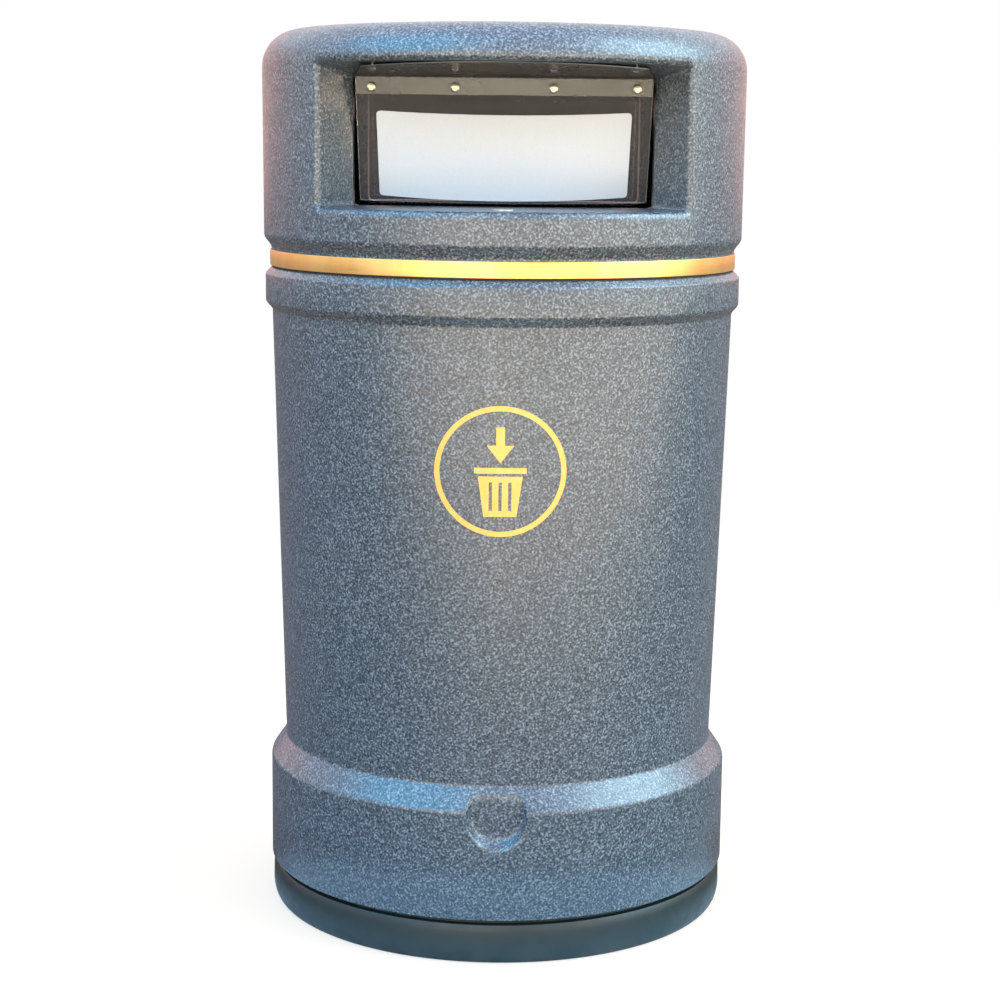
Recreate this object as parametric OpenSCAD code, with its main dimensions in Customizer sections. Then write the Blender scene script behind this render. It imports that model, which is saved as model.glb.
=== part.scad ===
// Round litter bin of street furniture: a weighted base, a granite-effect body with a plinth,
// a lift-up hood with a flap on both sides, and a galvanised liner inside.
// Z is up, the ground is at z = 0, the axis of the bin is the origin, and the front faces -Y.

/* [Hood] */
// Height of the crown of the hood above the ground
total_h = 988; // [984:1:992]
// Outer radius of the hood at the top of its wall
hood_r = 267.5; // [266.5:0.5:268.5]
// Radius of the shoulder between the hood's wall and its crown
shoulder_r = 40; // [36:1:42]
// Thickness of every moulded wall
wall = 5; // [4.5:0.5:5]
// Outer radius of the hood's neck, where the band sits
neck_r = 258; // [257.5:0.5:258]

/* [Apertures] */
// Width of each aperture at the face of the hood
mouth_w = 386; // [380:1:388]
// Height of the aperture's lower edge at the face of the hood
sill_z = 792; // [791:0.5:792.5]
// Height of the aperture's upper edge at the face of the hood
lintel_z = 941; // [940:0.5:941.5]
// Width of the throat that the flap closes
throat_w = 317; // [316.5:0.5:318]

/* [Flap] */
// Width of the clear flap at its top edge
flap_w = 311; // [308:1:311]
// Width of the clear flap at its bottom edge
flap_w_bottom = 304; // [300:1:306]
// Length of the clear sheet from its top edge to its bottom edge
flap_len = 130; // [128:0.5:130]
// Thickness of the clear sheet
sheet_t = 2.5; // [2:0.1:2.6]
// Lean of the sheet, with its bottom edge further in than its top edge
flap_lean = 11; // [10:0.5:11.5]
// How far the middle of the bottom edge bows outwards
flap_bow = 12; // [8:1:12]
// Width of the plain label on the flap
label_w = 268; // [240:1:270]

/* [Body] */
// Height of the split between the body and the hood
split_z = 723; // [722.5:0.5:723]
// Outer radius of the collar under the split
collar_r = 265; // [264.5:0.5:265]
// Outer radius of the body wall under the collar
body_top_r = 257.4; // [257:0.2:257.6]
// Outer radius of the body wall above the plinth
body_low_r = 244.5; // [244:0.5:245]
// Outer radius of the plinth
plinth_r = 262; // [261:0.5:262.5]

/* [Base] */
// Height of the black base moulding
base_h = 43; // [42:0.5:43]
// Largest outer radius of the base moulding
base_r = 259.8; // [258:0.2:260]
// Diameter of the circle that the ground anchor holes lie on
anchor_pcd = 300; // [260:5:320]
// Radius of each ground anchor hole
anchor_r = 6.5; // [5:0.5:7]

/* [Liner] */
// Outer radius of the liner at its top
liner_r = 206; // [200:1:207]
// Height of the liner's upper edge
liner_top_z = 700; // [680:1:702]
// Thickness of the liner's sheet steel
liner_t = 1.2; // [1:0.1:1.5]

/* [Symbol] */
// Outer diameter of the ring of the symbol on the body
symbol_d = 136; // [120:1:140]
// Width of the lines of the symbol
symbol_line = 5.4; // [4:0.2:6]
// Height of the centre of the symbol
symbol_z = 528; // [500:1:540]

/* [Hidden] */
$fn = 96;

// Colours
granite = [0.42, 0.46, 0.50];
gold = [0.91, 0.71, 0.35];
black_plastic = [0.14, 0.17, 0.17];
concrete = [0.62, 0.61, 0.58];
rubber_black = [0.06, 0.06, 0.07];
zinc = [0.68, 0.70, 0.72];
steel = [0.72, 0.72, 0.70];
dark_steel = [0.25, 0.26, 0.25];
clear_sheet = [0.80, 0.84, 0.86, 0.35];
label_white = [0.92, 0.93, 0.93];
brass_tone = [0.78, 0.66, 0.38];

// A small gap between pieces of one body, a running clearance, and an overshoot for cuts
gap = 0.3;
run = 0.05;
over = 1;

// Base moulding
base_floor_t = 8;
base_chamfer = [3, 8];
base_round = [7.3, 18];
base_neck_r = 250;
shelf_top = base_h + 6;
shelf_t = 8;
shelf_in_r = 224;
base_in_r = 246;
ballast_r = 221;
ballast_top = 47;

// Fixings between the body and the base
base_bolt_n = 6;
base_bolt_pcd_r = 236;
base_bolt_r = 4;
base_bolt_low_z = 29;
bolt_corner_r = 7.5;
bolt_head_h = 5.3;
nut_h = 6.5;
washer_r = 8.5;
washer_t = 1.6;

// Body
plinth_convex_r = 10;
plinth_top_z = 163.6;
plinth_slope = 35;
fillet_r = 6;
turns_r = plinth_convex_r + fillet_r;
fillet_z = plinth_top_z + turns_r * sin(plinth_slope)
    + (plinth_r - body_low_r - turns_r * (1 - cos(plinth_slope))) / tan(plinth_slope);
flange_t = 5;
flange_in_r = 226;
body_foot_r = plinth_r - 0.5;
body_wall_top_z = 670;
collar_start_z = 675;
collar_low_z = 687;
collar_top_z = 716;
spigot_r = 250.5;
spigot_in_r = 246;
spigot_top = split_z + 10;
rim_face_r = 258.5;

// Pocket in the plinth
pocket_r = 28;
pocket_splay = 6;
pocket_face_y = 250;
pocket_z = 162;
pocket_rise = 28;
pocket_far_y = 275;

// Hood
seal_t = 2;
hood_low_z = split_z + seal_t;
band_t = 2;
band_z0 = hood_low_z + gap;
band_z1 = band_z0 + 17;
curl_z0 = band_z1 + 0.7;
curl_h = 16;
hood_low_r = hood_r - 1;
shoulder_z = total_h - 48;
shoulder_end = 86;

// Recess behind each aperture: from the face of the hood to the throat
throat_y0 = 137;
throat_y1 = 110;
throat_sill = sill_z + 1.5;
throat_top = 929.5;
far_r = 300;
far_lintel = throat_top + (lintel_z - throat_top) * (far_r - throat_y0) / (hood_r - throat_y0);
far_sill = throat_sill + (sill_z - throat_sill) * (far_r - throat_y0) / (hood_r - throat_y0);
mouth_y = sqrt(hood_r * hood_r - mouth_w * mouth_w / 4);

// Flap: s runs down the sheet from its top edge, and n stands out from its outer face
flap_y = 150;
flap_top_z = 926.5;
fold_s = 20;
strip_end_s = fold_s - 1;
flap_start_s = fold_s + 1;
leg_end_s = fold_s - 1.5;
leg_t = 1.5;
rivet_s = 10.5;
rivet_x = [-139, -51.5, 51.5, 139];
rivet_head_r = 4.5;
rivet_shank_r = 1.95;
rivet_bore_r = 2;
screw_x = [-134, -50, 50, 134];
screw_y = 205;
label_s0 = 35;
label_s1 = 127.5;
label_t = 0.5;
label_sag = 3.5;

// Hinge at the rear
hinge_y = 274.5;
hinge_z = 734;
hinge_w = 70;
knuckle_r = 6;
knuckle_mid = 14;
pin_r = 2.5;
leaf_t = 3;
hood_leaf_z0 = 759;
hood_leaf_z1 = 786;
hinge_rivet_x = 25;
body_rivet_z = 701;
hood_rivet_z = 773;
leaf_head_r = 4;

// Lock behind the front sill
lock_y = -222;
lock_body_r = 9.5;
lock_flange_r = 13;
lock_top_z = sill_z + 1.4;
lock_seat_z = sill_z - 1;
lock_low_z = 730;
plug_r = 5.5;
cam_z = 724;
cam_t = 3;
cam_reach = 19.5;
cam_half_w = 6;
spindle_r = 4;
keeper_in_r = 233.3;
keeper_r = spigot_in_r - 0.2;
keeper_t = 2.5;
keeper_z = 729.5;
keeper_low_z = 712;
keeper_half_angle = 4.5;
keeper_screw_x = 12;
keeper_screw_z = 725.5;
keeper_head_r = 3.2;
keeper_screw_len = 6;

// Liner
liner_low_z = ballast_top + gap;
liner_low_r = liner_r - 8;
liner_floor_z = 55;
ear_y = 44;
ear_t = 6;
handle_x = liner_r - 16;
handle_z = 676;
handle_len = 42;
handle_r = 3;
handle_bend = 9;
handle_leg_y = 37;
ear_plate_t = 1.5;

// Points along an arc, from angle a0 to angle a1
function arc(cx, cy, r, a0, a1, n = 8) =
    [for (i = [0:n]) let (a = a0 + (a1 - a0) * i / n) [cx + r * cos(a), cy + r * sin(a)]];

// S-shaped rise of height h and width w, from the point (x, y)
function s_curve(x, y, w, h, n = 8) =
    [for (i = [0:n]) let (t = i / n) [x + w * t * t * (3 - 2 * t), y + h * t]];

// Height of the crown at radius r, for a crown that passes through p and peaks at height top
function crown(p, top, n = 6) =
    [for (i = [1:n]) let (r = p[0] * (1 - i / n)) [r, top - (top - p[1]) * pow(r / p[0], 2)]];

// Outer outline of the body from its lower edge to the collar, moved inwards by t
function body_outline(t) = concat(
    [[body_foot_r - t, shelf_top]],
    arc(plinth_r - plinth_convex_r, plinth_top_z, plinth_convex_r - t, 0, plinth_slope),
    arc(body_low_r + fillet_r, fillet_z, fillet_r + t, 180 + plinth_slope, 180),
    [[body_top_r - t, body_wall_top_z], [body_top_r + 0.1 - t, collar_start_z]]);

// Outer outline of the hood from its neck to its crown, moved inwards by t
function hood_outline(t) = let (
        curl = s_curve(neck_r - t, curl_z0 + t, hood_low_r - neck_r, curl_h),
        turn = arc(hood_r - shoulder_r, shoulder_z, shoulder_r - t, 0, shoulder_end)
    ) concat([[neck_r - t, hood_low_z - (t > 0 ? over : 0)]], curl, turn,
        crown(turn[len(turn) - 1], total_h - t));

// Radius of the tapered body wall at height z
function wall_r(z) = body_low_r
    + (body_top_r - body_low_r) * (z - fillet_z) / (body_wall_top_z - fillet_z);

// Height of the recess's ceiling at distance y in front of the axis
function ceiling_z(y) = throat_top + (lintel_z - throat_top) * (y - throat_y0) / (hood_r - throat_y0);
ceiling_slope = atan2(lintel_z - throat_top, hood_r - throat_y0);

// Half width of the sheet at s, and how far it bows outwards there
function half_w(s) = (flap_w + (flap_w_bottom - flap_w) * s / flap_len) / 2;
function bow(u, s) = flap_bow * (1 - u * u) * pow(max(0, (s - fold_s) / (flap_len - fold_s)), 1.5);

// The point of the sheet at s and n, in front of the axis
function sheet_point(x, s, n) = [x,
    -flap_y + s * sin(flap_lean) - n * cos(flap_lean),
    flap_top_z - s * cos(flap_lean) - n * sin(flap_lean)];

// A ring or disc turned from a rectangle
module turned(r0, r1, z0, z1) {
    rotate_extrude() translate([r0, z0]) square([r1 - r0, z1 - z0]);
}

// A curved plate: part of a ring centred on the front or the rear of the bin
module curved_plate(r0, r1, z0, z1, half_angle, facing) {
    rotate([0, 0, facing - half_angle])
        rotate_extrude(angle = 2 * half_angle)
            translate([r0, z0]) square([r1 - r0, z1 - z0]);
}

// Copies its children to the rear as well
module front_and_rear() {
    children();
    rotate([0, 0, 180]) children();
}

// Places its children on the sheet, with +Z standing out from the outer face
module on_sheet(x, s, n) {
    translate(sheet_point(x, s, n)) rotate([90 + flap_lean, 0, 0]) children();
}

// ---- Base ----

module base_moulding() {
    color(black_plastic)
    difference() {
        rotate_extrude() polygon(concat(
            [[0, 0]],
            [for (i = [0:6]) let (a = 90 * i / 6)
                [base_r - base_round[0] * (1 - sin(a)), base_round[1] * (1 - cos(a))]],
            [[base_r - 0.3, base_h - base_chamfer[1]], [base_r - base_chamfer[0], base_h],
             [base_neck_r, base_h], [base_neck_r, shelf_top], [shelf_in_r, shelf_top],
             [shelf_in_r, shelf_top - shelf_t], [base_in_r, shelf_top - shelf_t],
             [base_in_r, base_floor_t], [0, base_floor_t]]));
        base_bolt_places() translate([0, 0, shelf_top - shelf_t - over])
            cylinder(r = base_bolt_r + gap, h = shelf_t + 2 * over, $fn = 24);
        anchor_holes(-over, base_floor_t + over);
    }
}

module base_bolt_places() {
    for (i = [0:base_bolt_n - 1])
        rotate([0, 0, (i + 0.5) * 360 / base_bolt_n]) translate([base_bolt_pcd_r, 0, 0]) children();
}

module anchor_holes(z0, z1) {
    for (i = [0:3])
        rotate([0, 0, 45 + 90 * i]) translate([anchor_pcd / 2, 0, z0])
            cylinder(r = anchor_r, h = z1 - z0, $fn = 32);
}

module ballast_slab() {
    color(concrete)
    difference() {
        rotate_extrude() polygon([[0, base_floor_t], [ballast_r, base_floor_t],
            [ballast_r, ballast_top - 4], [ballast_r - 4, ballast_top], [0, ballast_top]]);
        anchor_holes(base_floor_t - over, ballast_top + over);
    }
}

module base_bolts() {
    color(steel)
    base_bolt_places() {
        translate([0, 0, shelf_top + flange_t + washer_t])
            cylinder(r = bolt_corner_r, h = bolt_head_h, $fn = 6);
        translate([0, 0, base_bolt_low_z])
            cylinder(r = base_bolt_r, h = shelf_top + flange_t + 2 - base_bolt_low_z, $fn = 24);
    }
}

module base_washers() {
    color(steel)
    base_bolt_places() translate([0, 0, shelf_top + flange_t]) difference() {
        cylinder(r = washer_r, h = washer_t, $fn = 32);
        translate([0, 0, -over]) cylinder(r = base_bolt_r + 0.2, h = washer_t + 2 * over, $fn = 24);
    }
}

module base_nuts() {
    color(steel)
    base_bolt_places() translate([0, 0, shelf_top - shelf_t - nut_h]) difference() {
        cylinder(r = bolt_corner_r, h = nut_h, $fn = 6);
        translate([0, 0, -over]) cylinder(r = base_bolt_r + run, h = nut_h + 2 * over, $fn = 24);
    }
}

// ---- Body ----

module pocket(extra) {
    r = pocket_r + extra;
    y0 = pocket_face_y - extra;
    depth = pocket_far_y - y0;
    out = depth * pocket_splay / (plinth_r - pocket_face_y);
    translate([0, -y0, pocket_z]) rotate([90, 0, 0]) cylinder(r1 = r, r2 = r + out, h = depth);
    translate([0, 0, pocket_z]) linear_extrude(pocket_rise)
        polygon([[-r, -y0], [r, -y0], [r + out, -pocket_far_y], [-r - out, -pocket_far_y]]);
}

module body_shell() {
    color(granite)
    difference() {
        union() {
            difference() {
                rotate_extrude() polygon(concat([[flange_in_r, shelf_top]], body_outline(0),
                    [[collar_r, collar_low_z], [collar_r, collar_top_z], [rim_face_r, split_z],
                     [spigot_r, split_z], [spigot_r, spigot_top], [spigot_in_r, spigot_top],
                     [flange_in_r, split_z - wall]]));
                body_hollow();
            }
            intersection() {
                front_and_rear() pocket(wall);
                rotate_extrude() polygon(concat([[flange_in_r, shelf_top]], body_outline(0),
                    [[flange_in_r, collar_start_z]]));
            }
        }
        front_and_rear() pocket(0);
        base_bolt_places() translate([0, 0, shelf_top - over])
            cylinder(r = base_bolt_r + gap, h = flange_t + 2 * over, $fn = 24);
        keeper_bores(-spigot_in_r);
        hinge_bores(collar_r - 3, body_rivet_z);
    }
}

// The space inside the body, open at the top
module body_hollow() {
    inner = body_outline(wall);
    wall_points = [for (i = [1:len(inner) - 1]) inner[i]];
    rotate_extrude() polygon(concat(
        [[0, shelf_top + flange_t], [body_foot_r - wall, shelf_top + flange_t]], wall_points,
        [[collar_r - wall, collar_low_z + 2], [collar_r - wall, collar_top_z - 4],
         [collar_r - wall - 6, split_z - wall], [spigot_in_r, split_z - wall],
         [spigot_in_r, spigot_top + over], [0, spigot_top + over]]));
    turned(0, flange_in_r, shelf_top - over, shelf_top + flange_t + over);
}

// A hole for a rivet along Y, centred on the wall at y
module rivet_bore(x, y, z, facing) {
    translate([x, y, z]) rotate([90, 0, facing]) translate([0, 0, -8])
        cylinder(r = rivet_bore_r, h = 16, $fn = 24);
}

module keeper_bores(y) {
    for (x = [-keeper_screw_x, keeper_screw_x]) rivet_bore(x, y, keeper_screw_z, 180);
}

module hinge_bores(y, z) {
    for (x = [-hinge_rivet_x, hinge_rivet_x]) rivet_bore(x, y, z, 0);
}

module rim_seal() {
    color(rubber_black)
    turned(spigot_r + gap, neck_r - 1, split_z, hood_low_z);
}

module symbol_outline() {
    r = symbol_d / 2;
    difference() {
        circle(r = r);
        circle(r = r - symbol_line);
    }
    // Arrow that points down into the bin
    polygon([[-4.5, 46], [4.5, 46], [4.5, 27], [14, 27], [0, 9], [-14, 27], [-4.5, 27]]);
    // Bin with a rim and three slots between its ribs
    translate([-27, -2]) square([54, 6]);
    difference() {
        polygon([[-23, -5], [23, -5], [17, -47], [-17, -47]]);
        for (x = [-10, 0, 10]) translate([x - 1.75, -41]) square([3.5, 30]);
    }
}

module symbol() {
    skin = 0.35;
    z0 = symbol_z - symbol_d;
    z1 = symbol_z + symbol_d;
    intersection() {
        rotate_extrude() polygon([[wall_r(z0) + run, z0], [wall_r(z0) + skin, z0],
            [wall_r(z1) + skin, z1], [wall_r(z1) + run, z1]]);
        translate([0, 0, symbol_z]) rotate([90, 0, 0]) linear_extrude(collar_r) symbol_outline();
    }
}

module front_symbol() {
    color(gold) symbol();
}

module rear_symbol() {
    color(gold) rotate([0, 0, 180]) symbol();
}

// ---- Hinge ----

// A knuckle along X, with a web that joins it to a leaf
module knuckle(x0, x1, y0, z_leaf) {
    web_t = hinge_y - knuckle_r + 1 - y0;
    low = min(hinge_z, z_leaf);
    translate([x0, hinge_y, hinge_z]) rotate([0, 90, 0]) cylinder(r = knuckle_r, h = x1 - x0, $fn = 48);
    translate([x0, y0, low]) cube([x1 - x0, web_t, abs(z_leaf - hinge_z)]);
}

module pin_bore(clearance) {
    translate([-hinge_w, hinge_y, hinge_z]) rotate([0, 90, 0])
        cylinder(r = pin_r + clearance, h = 2 * hinge_w, $fn = 32);
}

module hinge_body_leaf() {
    r0 = collar_r + gap;
    half = asin(hinge_w / 2 / r0);
    color(steel)
    difference() {
        union() {
            curved_plate(r0, r0 + leaf_t, collar_low_z + 2, collar_top_z - 2, half, 90);
            for (side = [-1, 1]) {
                x0 = side > 0 ? knuckle_mid + gap : -hinge_w / 2;
                knuckle(x0, x0 + hinge_w / 2 - knuckle_mid - gap, r0 - 0.6, collar_top_z - 10);
            }
        }
        pin_bore(0);
        hinge_bores(collar_r, body_rivet_z);
    }
}

module hinge_hood_leaf() {
    r0 = hood_r - 0.4;
    half = asin(hinge_w / 2 / r0);
    color(steel)
    difference() {
        union() {
            curved_plate(r0, r0 + leaf_t, hood_leaf_z0, hood_leaf_z1, half, 90);
            knuckle(-knuckle_mid, knuckle_mid, r0 - 0.1, hood_leaf_z0 + 9);
        }
        pin_bore(run);
        hinge_bores(hood_r, hood_rivet_z);
    }
}

module hinge_pin() {
    color(steel)
    translate([-hinge_w / 2 - 2, hinge_y, hinge_z]) rotate([0, 90, 0]) {
        cylinder(r = pin_r, h = hinge_w + 4, $fn = 32);
        cylinder(r = pin_r + 1.3, h = 1.6, $fn = 32);
        translate([0, 0, hinge_w + 2.4]) cylinder(r = pin_r + 1.3, h = 1.6, $fn = 32);
    }
}

// A pop rivet along Z: its head stands on z = 0 and it grips a stack of the given thickness
module pop_rivet(head_r, shank_r, grip, head_h = 1.2) {
    bulb_h = 3;
    rotate_extrude($fn = 32) polygon([[shank_r * 0.55, head_h - 1], [shank_r * 0.55, head_h],
        [head_r * 0.6, head_h], [head_r, head_h * 0.35], [head_r, 0], [shank_r, 0],
        [shank_r, -grip], [shank_r + 1, -grip], [shank_r + 0.8, -grip - bulb_h + 0.6],
        [shank_r, -grip - bulb_h], [0, -grip - bulb_h], [0, head_h - 1]]);
}

// Two rivets whose heads stand on a leaf with the outer radius r
module leaf_rivets(r, z) {
    inner_x = hinge_rivet_x - leaf_head_r;
    y = sqrt(r * r - inner_x * inner_x) + run;
    for (x = [-hinge_rivet_x, hinge_rivet_x]) translate([x, y, z]) rotate([-90, 0, 0])
        pop_rivet(leaf_head_r, rivet_shank_r, leaf_t + wall + 1.5);
}

module hinge_body_rivets() {
    color(steel) leaf_rivets(collar_r + gap + leaf_t, body_rivet_z);
}

module hinge_hood_rivets() {
    color(steel) leaf_rivets(hood_r - 0.4 + leaf_t, hood_rivet_z);
}

// ---- Hood ----

// The recess of one aperture, grown outwards by extra. Its sides run straight from the throat
// through the corners of the mouth, and on to the radius far_r.
module recess(extra) {
    half = throat_w / 2 + extra;
    top = throat_top + extra;
    low = throat_sill - extra;
    splay = atan2((mouth_w - throat_w) / 2, mouth_y - throat_y0);
    start = [throat_w / 2 + extra / cos(splay), throat_y0];
    along = start[0] * sin(splay) + start[1] * cos(splay);
    reach = sqrt(along * along - start * start + far_r * far_r) - along;
    far_angle = asin((start[0] + reach * sin(splay)) / far_r);
    far_top = far_lintel + extra;
    far_low = far_sill - extra;
    hull() {
        for (z = [far_low, far_top - 0.01]) translate([0, 0, z]) linear_extrude(0.01)
            polygon(arc(0, 0, far_r, 270 - far_angle, 270 + far_angle, 24));
        translate([-half, -throat_y0, low]) cube([2 * half, 0.01, top - low]);
    }
    translate([-half, -throat_y0 - 0.005, low]) cube([2 * half, throat_y0 - throat_y1, top - low]);
}

module hood_solid() {
    rotate_extrude() polygon(concat([[0, hood_low_z]], hood_outline(0)));
}

module hood_hollow() {
    rotate_extrude() polygon(concat([[0, hood_low_z - over]], hood_outline(wall)));
}

module hood_shell() {
    color(granite)
    difference() {
        union() {
            difference() {
                hood_solid();
                hood_hollow();
            }
            intersection() {
                hood_solid();
                front_and_rear() recess(wall);
            }
        }
        front_and_rear() {
            recess(0);
            translate([-throat_w / 2, -throat_y0, throat_sill])
                cube([throat_w, throat_y0 - throat_y1 + wall + over, throat_top - throat_sill]);
            hanger_screw_places() translate([0, 0, -over]) cylinder(r = 1.6, h = 16, $fn = 20);
        }
        translate([0, lock_y, lock_seat_z]) cylinder(r = lock_flange_r + 0.2, h = 10, $fn = 48);
        translate([0, lock_y, lock_seat_z - 10]) cylinder(r = lock_body_r + run, h = 20, $fn = 48);
        hinge_bores(hood_r - 3, hood_rivet_z);
    }
}

module neck_band() {
    color(gold)
    difference() {
        turned(neck_r + run, neck_r + band_t, band_z0, band_z1);
        translate([-0.5, 0, band_z0 - over]) cube([1, hood_r, band_z1 - band_z0 + 2 * over]);
    }
}

module band_rivets() {
    z = (band_z0 + band_z1) / 2;
    color(gold)
    for (a = [-1.6, 1.6]) rotate([0, 0, a]) translate([0, neck_r + band_t, z]) rotate([-90, 0, 0])
        rotate_extrude($fn = 32) polygon([[0, 0], [3.5, 0], [3.2, 0.8], [1.8, 1.5], [0, 1.7]]);
}

// ---- Hangers and flaps ----

// Square to the sloping ceiling of the recess, on the lower face of the hanger's leg
module hanger_screw_places() {
    for (x = screw_x) translate([x, -screw_y, ceiling_z(screw_y) - leg_t - gap - run])
        rotate([-ceiling_slope, 0, 0]) children();
}

// An angle: one leg lies under the ceiling of the recess, the other backs the top of the sheet
module hanger() {
    half = flap_w / 2;
    back = sheet_point(0, leg_end_s, -sheet_t - leg_t - run);
    face = sheet_point(0, leg_end_s, -sheet_t - run);
    corner_s = -4.2;
    face_top = sheet_point(0, corner_s, -sheet_t - run);
    back_top = sheet_point(0, corner_s - leg_t, -sheet_t - leg_t - run);
    under = ceiling_z(flap_y) - gap - leg_t;
    tip_y = hood_r - 9;
    difference() {
        intersection() {
            rotate([90, 0, 90]) translate([0, 0, -half]) linear_extrude(2 * half) polygon([
                [back[1], back[2]], [face[1], face[2]],
                [face[1] + (face_top[1] - face[1]) * (under - face[2]) / (face_top[2] - face[2]), under],
                [-flap_y, under], [-tip_y, ceiling_z(tip_y) - gap - leg_t],
                [-tip_y, ceiling_z(tip_y) - gap], [back_top[1], ceiling_z(-back_top[1]) - gap]]);
            linear_extrude(total_h) polygon([[-half, -100], [half, -100], [half, -flap_y],
                [half - 9, -hood_r], [9 - half, -hood_r], [-half, -flap_y]]);
            cylinder(r = tip_y, h = total_h);
        }
        for (x = rivet_x) on_sheet(x, rivet_s, -sheet_t - 4) cylinder(r = 2, h = 6, $fn = 24);
        hanger_screw_places() translate([0, 0, -over]) cylinder(r = 1.7, h = 6, $fn = 20);
    }
}

module front_hanger() {
    color(dark_steel) hanger();
}

module rear_hanger() {
    color(dark_steel) rotate([0, 0, 180]) hanger();
}

module hanger_screws() {
    hanger_screw_places() rotate_extrude($fn = 32)
        polygon([[0, -1.3], [2.2, -1.1], [3.6, 0], [1.55, 0], [1.55, 9], [0, 10]]);
}

module front_hanger_screws() {
    color(steel) hanger_screws();
}

module rear_hanger_screws() {
    color(steel) rotate([0, 0, 180]) hanger_screws();
}

// The strip of the sheet that is clamped to the hanger
module flap_strip() {
    difference() {
        rotate([90, 0, 90]) translate([0, 0, -flap_w / 2]) linear_extrude(flap_w)
            polygon([for (c = [[0, 0], [strip_end_s, 0], [strip_end_s, -sheet_t], [0, -sheet_t]])
                let (p = sheet_point(0, c[0], c[1])) [p[1], p[2]]]);
        for (x = rivet_x) on_sheet(x, rivet_s, -sheet_t - over) cylinder(r = 2, h = 6, $fn = 24);
    }
}

module front_flap_strip() {
    color(clear_sheet) flap_strip();
}

module rear_flap_strip() {
    color(clear_sheet) rotate([0, 0, 180]) flap_strip();
}

module flap_rivets() {
    grip = sheet_t + leg_t + 0.2;
    for (x = rivet_x) on_sheet(x, rivet_s, run) pop_rivet(rivet_head_r, rivet_shank_r, grip);
}

module front_flap_rivets() {
    color(brass_tone) flap_rivets();
}

module rear_flap_rivets() {
    color(brass_tone) rotate([0, 0, 180]) flap_rivets();
}

// A thin curved sheet between two grids of points, n_out outside and n_in inside.
// Its edges run from s0(u) to s1(u) and from -half(s) to half(s).
module bowed_sheet(half0, half1, s0, s1, sag, n_out, n_in, nu = 24, nv = 8) {
    function s_at(u, v) = s0 + (s1 - s0) * v + sag * (1 - u * u);
    function at(i, j, n) =
        let (u = 2 * i / nu - 1, v = j / nv, s = s_at(u, v), half = half0 + (half1 - half0) * v)
        sheet_point(half * u, s, n + bow(half * u / half_w(s), s));
    cols = nu + 1;
    count = cols * (nv + 1);
    points = [for (n = [n_out, n_in]) for (j = [0:nv]) for (i = [0:nu]) at(i, j, n)];
    outer = [for (j = [0:nv - 1]) for (i = [0:nu - 1])
        let (a = j * cols + i) [a, a + 1, a + cols + 1, a + cols]];
    inner = [for (f = outer) [for (k = [3:-1:0]) f[k] + count]];
    rim = concat([for (i = [0:nu]) i], [for (j = [1:nv]) j * cols + nu],
        [for (i = [nu - 1:-1:0]) nv * cols + i], [for (j = [nv - 1:-1:1]) j * cols]);
    sides = [for (k = [0:len(rim) - 1]) let (a = rim[k], b = rim[(k + 1) % len(rim)])
        [b, a, a + count, b + count]];
    polyhedron(points, concat(outer, inner, sides), convexity = 4);
}

module flap() {
    bowed_sheet(half_w(flap_start_s), half_w(flap_len), flap_start_s, flap_len, 0, 0, -sheet_t);
}

module front_flap() {
    color(clear_sheet) flap();
}

module rear_flap() {
    color(clear_sheet) rotate([0, 0, 180]) flap();
}

module label() {
    bowed_sheet(label_w / 2, label_w / 2 - 3, label_s0, label_s1 - label_sag, label_sag,
        label_t + run, run, 24, 6);
}

module front_label() {
    color(label_white) label();
}

module rear_label() {
    color(label_white) rotate([0, 0, 180]) label();
}

// ---- Lock ----

module lock_barrel() {
    color(steel)
    translate([0, lock_y, 0]) difference() {
        union() {
            translate([0, 0, lock_seat_z])
                cylinder(r = lock_flange_r, h = lock_top_z - lock_seat_z, $fn = 48);
            translate([0, 0, lock_low_z])
                cylinder(r = lock_body_r, h = lock_seat_z - lock_low_z + over, $fn = 48);
        }
        translate([0, 0, lock_low_z - over]) cylinder(r = plug_r + run, h = 80, $fn = 48);
    }
}

module lock_nut() {
    color(steel)
    translate([0, lock_y, lock_seat_z - 10]) difference() {
        cylinder(r = 14, h = 5, $fn = 6);
        translate([0, 0, -over]) cylinder(r = lock_body_r + run, h = 8, $fn = 48);
    }
}

module lock_plug() {
    low = cam_z + cam_t + gap;
    color(brass_tone)
    translate([0, lock_y, 0]) difference() {
        union() {
            translate([0, 0, low]) cylinder(r = plug_r, h = lock_top_z - 0.6 - low, $fn = 48);
            translate([0, 0, cam_z]) cylinder(r = spindle_r, h = low - cam_z + over, $fn = 32);
        }
        translate([0, 0, lock_top_z - 6]) cylinder(r = 3.4, h = 8, $fn = 3);
        translate([0, 0, cam_z - over]) cylinder(r = 1.7, h = 14, $fn = 24);
    }
}

module lock_cam() {
    color(zinc)
    translate([0, lock_y, cam_z]) difference() {
        linear_extrude(cam_t) union() {
            circle(r = 8, $fn = 48);
            translate([0, -cam_half_w]) square([cam_reach - cam_half_w, 2 * cam_half_w]);
            translate([cam_reach - cam_half_w, 0]) circle(r = cam_half_w, $fn = 32);
        }
        translate([0, 0, -over]) cylinder(r = spindle_r + run, h = cam_t + 2 * over, $fn = 32);
    }
}

module cam_screw() {
    color(steel)
    translate([0, lock_y, 0]) {
        translate([0, 0, cam_z - 3.2]) cylinder(r = 6, h = 3.2, $fn = 32);
        translate([0, 0, cam_z - 1]) cylinder(r = 1.65, h = 12, $fn = 24);
    }
}

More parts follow.
